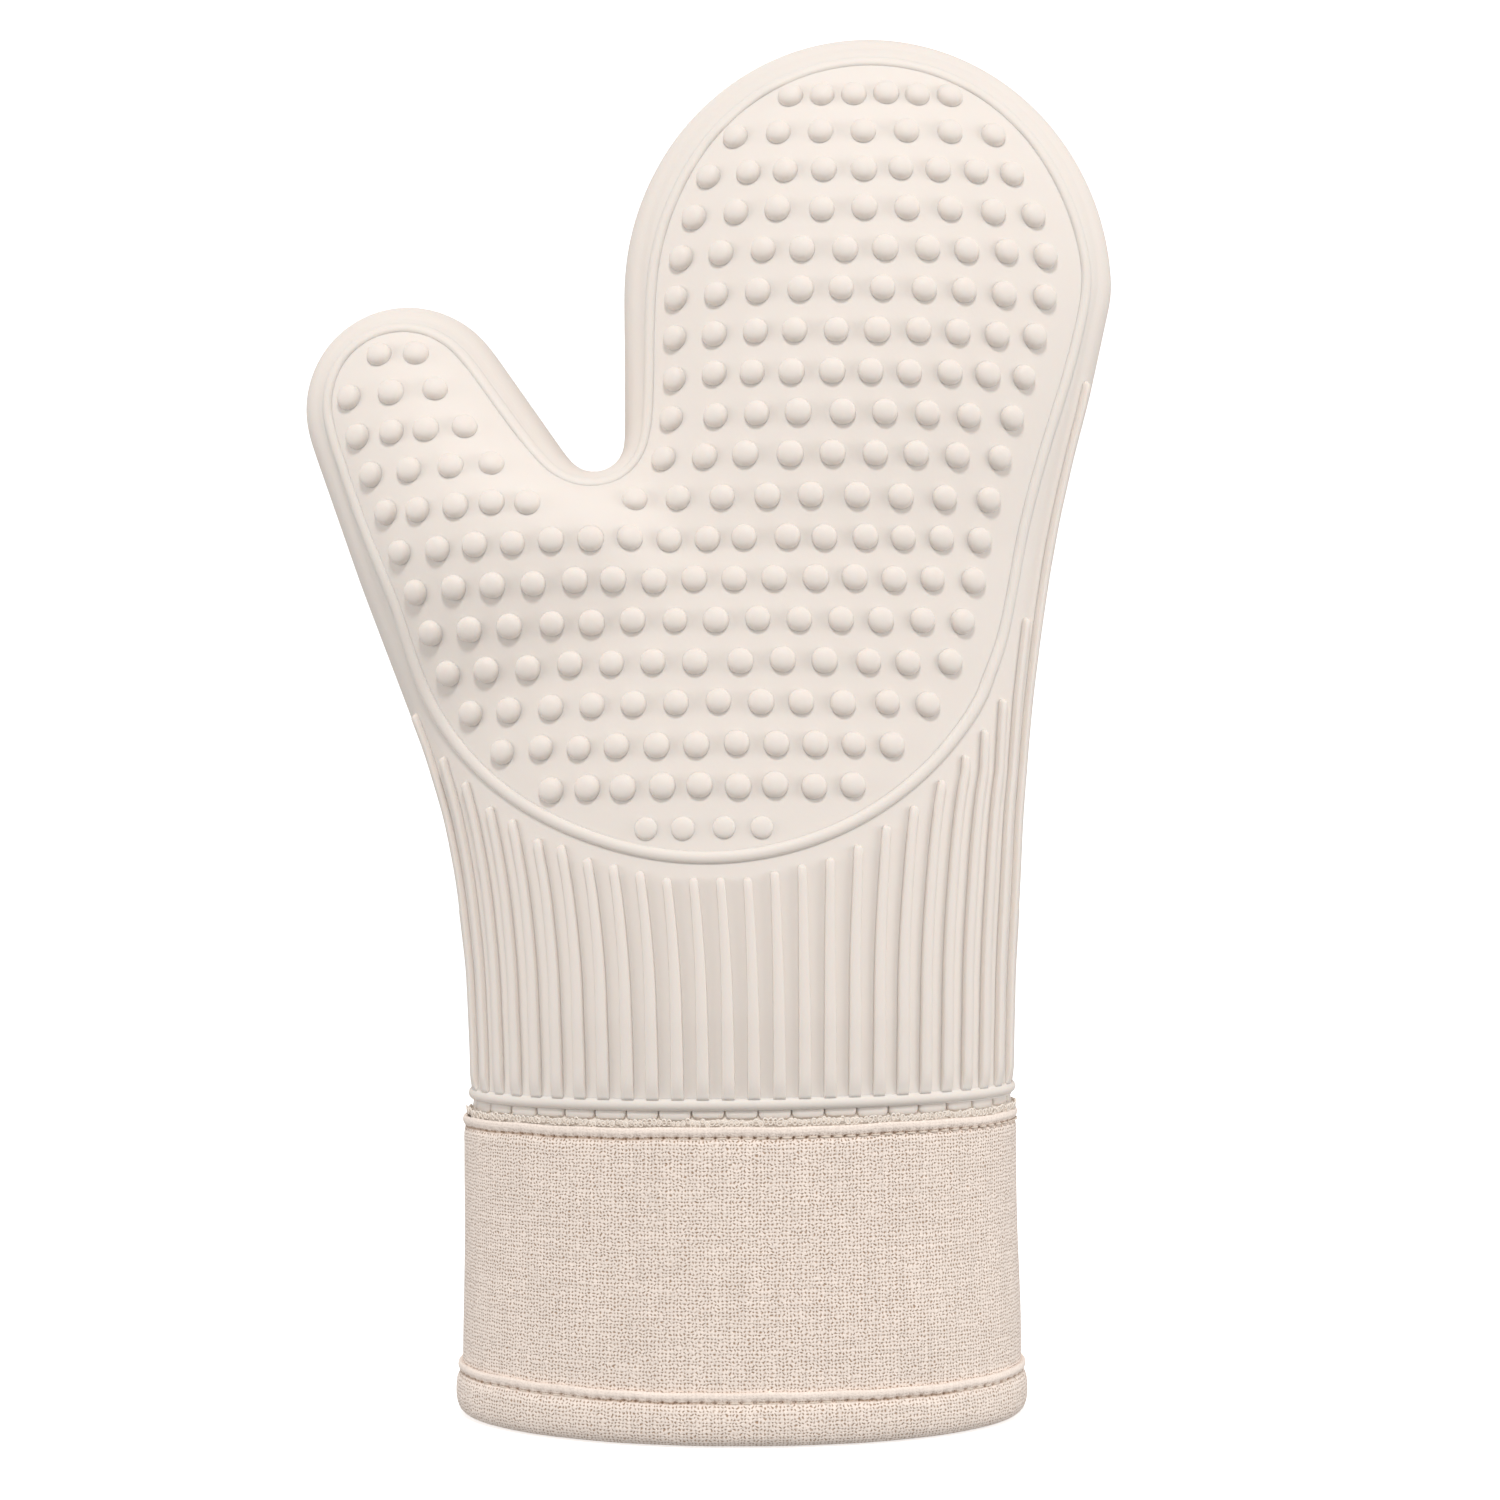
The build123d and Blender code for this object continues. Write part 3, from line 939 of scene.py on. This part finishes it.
def math_node(nodes, links, kind, a, b=None, c=None, clamp=False):
    node = nodes.new("ShaderNodeMath")
    node.operation = kind
    node.use_clamp = clamp
    for socket, value in zip(node.inputs, (a, b, c)):
        if value is None:
            continue
        if isinstance(value, (int, float)):
            socket.default_value = value
        else:
            links.new(value, socket)
    return node.outputs[0]


def mix_colour(nodes, links, factor, first, second):
    node = nodes.new("ShaderNodeMix")
    node.data_type = "RGBA"
    for socket, value in ((node.inputs[0], factor), (node.inputs[6], first), (node.inputs[7], second)):
        if isinstance(value, (int, float, tuple)):
            socket.default_value = value
        else:
            links.new(value, socket)
    return node.outputs[2]


def noise_at(nodes, links, vector, scale, detail=2.0, rough=0.5):
    node = nodes.new("ShaderNodeTexNoise")
    put(node, {"Scale": scale, "Detail": detail, "Roughness": rough})
    links.new(vector, node.inputs["Vector"])
    return node.outputs["Fac"]


def silicone_material():
    material, nodes, links, bsdf = new_material("silicone")
    coords = nodes.new("ShaderNodeTexCoord").outputs["Object"]
    cloud = noise_at(nodes, links, coords, 14.0)
    colour = mix_colour(nodes, links, cloud, (0.75, 0.685, 0.630, 1), (0.785, 0.717, 0.661, 1))
    links.new(colour, bsdf.inputs["Base Color"])
    put(bsdf, {"Roughness": 0.6, "Specular IOR Level": 0.32, "Subsurface Weight": 0.2,
               "Subsurface Radius": (1.0, 0.6, 0.4), "Subsurface Scale": 0.0015})
    add_bump(nodes, links, bsdf, noise_at(nodes, links, coords, 1100.0, 3.0), 0.12, 0.0002)
    return material


def woven_material(name, light, dark, row, bead, pitch=0.86, depth=0.00013):
    """Plain weave from the cloth's own coordinates in millimetres, with slubs and pin-holes.

    row and bead are the cloth coordinates of the stitch row, whose needle holes get painted shade,
    and of the tightly rolled fold above it, where the weave hardly shows; the weave's pin-holes get painted
    shade too.
    """
    material, nodes, links, bsdf = new_material(name)
    uv_node = nodes.new("ShaderNodeUVMap")
    uv_node.uv_map = "Cloth"
    uv = uv_node.outputs["UV"]
    split = nodes.new("ShaderNodeSeparateXYZ")
    links.new(uv, split.inputs[0])

    def m(kind, a, b=None, c=None, clamp=False):
        return math_node(nodes, links, kind, a, b, c, clamp)

    def stretched_noise(scale, detail=2.0):
        mapping = nodes.new("ShaderNodeMapping")
        mapping.inputs["Scale"].default_value = scale
        links.new(uv, mapping.inputs["Vector"])
        return noise_at(nodes, links, mapping.outputs[0], 1.0, detail)

    wander_u = stretched_noise((0.55, 0.8, 1), 3.0)
    wander_v = stretched_noise((0.75, 0.5, 1.7), 3.0)
    u = m("MULTIPLY_ADD", m("SUBTRACT", wander_u, 0.5), 1.8, split.outputs[0])
    v = m("MULTIPLY_ADD", m("SUBTRACT", wander_v, 0.5), 1.8, split.outputs[1])
    pu, pv = m("MULTIPLY", u, pi / pitch), m("MULTIPLY", v, pi / pitch)
    warp, weft = m("ABSOLUTE", m("SINE", pu)), m("ABSOLUTE", m("SINE", pv))
    over = m("GREATER_THAN", m("MULTIPLY", m("COSINE", pu), m("COSINE", pv)), 0.0)
    apart = m("SQRT", m("ADD", m("POWER", warp, 2.0), m("POWER", weft, 2.0)))
    gap = m("MULTIPLY_ADD", apart, -1.55, 1.48, clamp=True)
    patchy = m("MULTIPLY_ADD", stretched_noise((0.35, 0.5, 2.3), 4.0), 2.4, -0.2, clamp=True)
    off_bead = m("ABSOLUTE", m("SUBTRACT", split.outputs[1], bead))
    loose = m("MULTIPLY_ADD", off_bead, 0.9, -0.55, clamp=True)
    hole = m("MULTIPLY", m("MULTIPLY", gap, patchy), m("MAXIMUM", loose, 0.12))
    crown = m("ADD", m("MULTIPLY", over, warp), m("MULTIPLY", m("SUBTRACT", 1.0, over), weft))
    height = m("SUBTRACT", m("MULTIPLY", crown, 0.6), hole)
    slub = m("ADD", stretched_noise((0.05, 0.8, 1)), stretched_noise((0.8, 0.04, 1)))
    tone = m("MULTIPLY_ADD", m("SUBTRACT", slub, 1.0), 1.4, 0.45, clamp=True)
    base = mix_colour(nodes, links, tone, light, tuple(0.84 * c for c in light[:3]) + (1,))
    # painted shade: the weave's pin-holes are darkened towards the dark colour
    woven = mix_colour(nodes, links, m("MULTIPLY", hole, 1.15, clamp=True), base, dark)

    # painted shade along the stitch row: dark needle holes, and a dark crease beside them
    needle = ROUND / HOLES
    phase = m("FRACT", m("DIVIDE", split.outputs[0], needle))
    beside = m("MULTIPLY", m("MINIMUM", phase, m("SUBTRACT", 1.0, phase)), needle)
    above = m("ABSOLUTE", m("SUBTRACT", split.outputs[1], row))
    reach = m("SQRT", m("ADD", m("POWER", beside, 2.0), m("POWER", above, 2.0)))
    pierced = m("SUBTRACT", 1.0, m("MULTIPLY", reach, 2.0), clamp=True)
    crease_shade = m("MULTIPLY", m("SUBTRACT", 0.9, m("MULTIPLY", above, 1.8), clamp=True), patchy)
    stitch_row_shade = m("MAXIMUM", m("MULTIPLY", pierced, 1.6, clamp=True), crease_shade)
    links.new(mix_colour(nodes, links, stitch_row_shade, woven, dark), bsdf.inputs["Base Color"])
    put(bsdf, {"Roughness": 0.88, "Specular IOR Level": 0.2, "Sheen Weight": 0.25,
               "Sheen Roughness": 0.5})
    add_bump(nodes, links, bsdf, height, 1.0, depth)
    return material


def soft_material(name, colour, scale, depth=0.0003, rough=0.95):
    """Wadding, brushed lining, tape or thread: matt, with a little fluff."""
    material, nodes, links, bsdf = new_material(name)
    coords = nodes.new("ShaderNodeTexCoord").outputs["Object"]
    fluff = noise_at(nodes, links, coords, scale, 4.0, 0.65)
    dark = tuple(0.8 * c for c in colour[:3]) + (1,)
    links.new(mix_colour(nodes, links, fluff, dark, colour), bsdf.inputs["Base Color"])
    put(bsdf, {"Roughness": rough, "Specular IOR Level": 0.15, "Sheen Weight": 0.35})
    add_bump(nodes, links, bsdf, fluff, 0.6, depth)
    return material


SILICONE = silicone_material()
# the second linen colour is painted shade, laid into the weave's pin-holes, the needle holes and the crease
# of the stitch row
LINEN_LIGHT, LINEN_HOLE_SHADE = (0.97, 0.845, 0.755, 1), (0.42, 0.27, 0.175, 1)
LINEN = woven_material("linen", LINEN_LIGHT, LINEN_HOLE_SHADE, CUFF_ROW, CUFF_BEAD)
BIAS_LINEN = woven_material("bias_linen", LINEN_LIGHT, LINEN_HOLE_SHADE, HEM_ROW, HEM_BEAD)
BRUSHED = soft_material("brushed_cotton", (0.78, 0.73, 0.66, 1), 900)
WADDING = soft_material("wadding", (0.84, 0.82, 0.78, 1), 300, 0.0006)
TAPE = soft_material("tape", (0.97, 0.88, 0.79, 1), 1400)
THREAD = soft_material("thread", (0.78, 0.67, 0.57, 1), 2500, 0.0001)

# ---- pieces
plan = half_plan(FOOT)
inner_plan = half_plan(LINING_FOOT, 4.0)

for name, side in (("palm", -1), ("back", 1)):
    build = Builder()
    half_shell(build, plan, side, *SHELL)
    add_bead(build, side)
    add_dots(build, side)
    add_ribs(build, side)
    add_ring(build, side)
    add_tabs(build, side)
    build.make(f"{name}_silicone", SILICONE, "silicone", [f"{name}_shell"])

    build = Builder()
    half_shell(build, inner_plan, side, *PADDING)
    build.make(f"{name}_padding", WADDING, "wadding", [f"{name}_wadding"])

    build = Builder()
    half_shell(build, inner_plan, side, *LINING)
    lining = build.make(f"{name}_lining", BRUSHED, "lining", [f"{name}_liner"])

cuff = cuff_cloth().make("cuff_linen", LINEN, "cuff_cloth", ["cuff_fabric"])
hem = hem_cloth().make("hem_binding_linen", BIAS_LINEN, "binding_cloth", ["hem_binding"])
pad = plain_tube(-1.7, -4.1, 3.4, 66.0).make("cuff_padding", WADDING, "wadding", ["cuff_wadding"])
facing = plain_tube(-4.3, -5.1, 4.6, 67.0, 220).make("cuff_lining", BRUSHED, "lining", ["cuff_facing"])
tape = tape_cloth().make("overlocked_tape", TAPE, "tape", ["joining_tape"])
top_thread = thread_row(-0.75, CUFF_STITCH_Z, True)
top_thread = top_thread.make("cuff_stitches", THREAD, "thread", ["cuff_top_stitching"])
hem_thread = thread_row(0.8, HEM_STITCH_Z, False)
hem_thread = hem_thread.make("hem_stitches", THREAD, "thread", ["hem_stitching"])

# ---- camera, light, stage
def add_camera():
    data = bpy.data.cameras.new("camera")
    camera = bpy.data.objects.new("camera", data)
    bpy.context.scene.collection.objects.link(camera)
    camera.location = (1.94 * MM, -0.560, 0.136)
    camera.rotation_euler = (radians(90), 0, 0)
    data.sensor_width = 36.0
    data.lens = 55.38
    data.shift_y = 0.0659
    bpy.context.scene.camera = camera


def add_light(name, location, aim, energy, size):
    """A round lamp; energy in watts, size across in metres."""
    data = bpy.data.lights.new(name, "AREA")
    data.energy = energy
    data.shape = "DISK"
    data.size = size
    light = bpy.data.objects.new(name, data)
    light.location = location
    way = Vector(aim) - Vector(location)
    light.rotation_euler = way.to_track_quat("-Z", "Y").to_euler()
    bpy.context.scene.collection.objects.link(light)


def add_stage():
    """Pale floor that bends up into a wall behind; in metres."""
    mesh = bpy.data.meshes.new("sweep")
    bend = [(1.2 + 0.8 * sin(t), 0.8 - 0.8 * cos(t)) for t in np.linspace(0, pi / 2, 16)]
    profile = [(-3.0, 0.0)] + bend + [(2.0, 4.0)]
    verts = []
    for y, z in profile:
        verts += [(-4, y, z), (4, y, z)]
    faces = [(2 * k, 2 * k + 1, 2 * k + 3, 2 * k + 2) for k in range(len(profile) - 1)]
    mesh.from_pydata(verts, [], faces)
    mesh.update()
    for polygon in mesh.polygons:
        polygon.use_smooth = True
    material, nodes, links, bsdf = new_material("studio_white")
    put(bsdf, {"Base Color": (0.96, 0.96, 0.96, 1), "Roughness": 0.9, "Emission Color": (1, 1, 1, 1)})
    coords = nodes.new("ShaderNodeTexCoord")
    split = nodes.new("ShaderNodeSeparateXYZ")
    links.new(coords.outputs["Object"], split.inputs[0])
    glow = nodes.new("ShaderNodeMapRange")
    glow.interpolation_type = "SMOOTHSTEP"
    for socket, value in zip(list(glow.inputs)[1:5], (-0.1, 0.7, 0.5, 0.6)):
        socket.default_value = value
    links.new(split.outputs[1], glow.inputs[0])
    links.new(glow.outputs[0], bsdf.inputs["Emission Strength"])
    mesh.materials.append(material)
    sweep = bpy.data.objects.new("sweep", mesh)
    bpy.context.scene.collection.objects.link(sweep)
    sweep.visible_diffuse = False
    sweep.visible_glossy = False


def add_world():
    world = bpy.data.worlds.new("world")
    world.use_nodes = True
    put(world.node_tree.nodes["Background"], {"Color": (1, 0.99, 0.98, 1), "Strength": 0.52})
    bpy.context.scene.world = world


add_camera()
add_light("key", (0.0, -1.1, 1.3), (0, 0, 0.15), 12.6, 0.32)
add_light("left", (-1.25, -0.5, 0.32), (0, 0, 0.16), 4.5, 0.75)
add_light("right", (1.25, -0.46, 0.32), (0, 0, 0.16), 6.2, 0.75)
add_light("behind", (-0.5, 1.5, 1.7), (0, 0, 0.16), 3.7, 1.0)
add_stage()
add_world()
bpy.context.scene.view_settings.view_transform = "Standard"
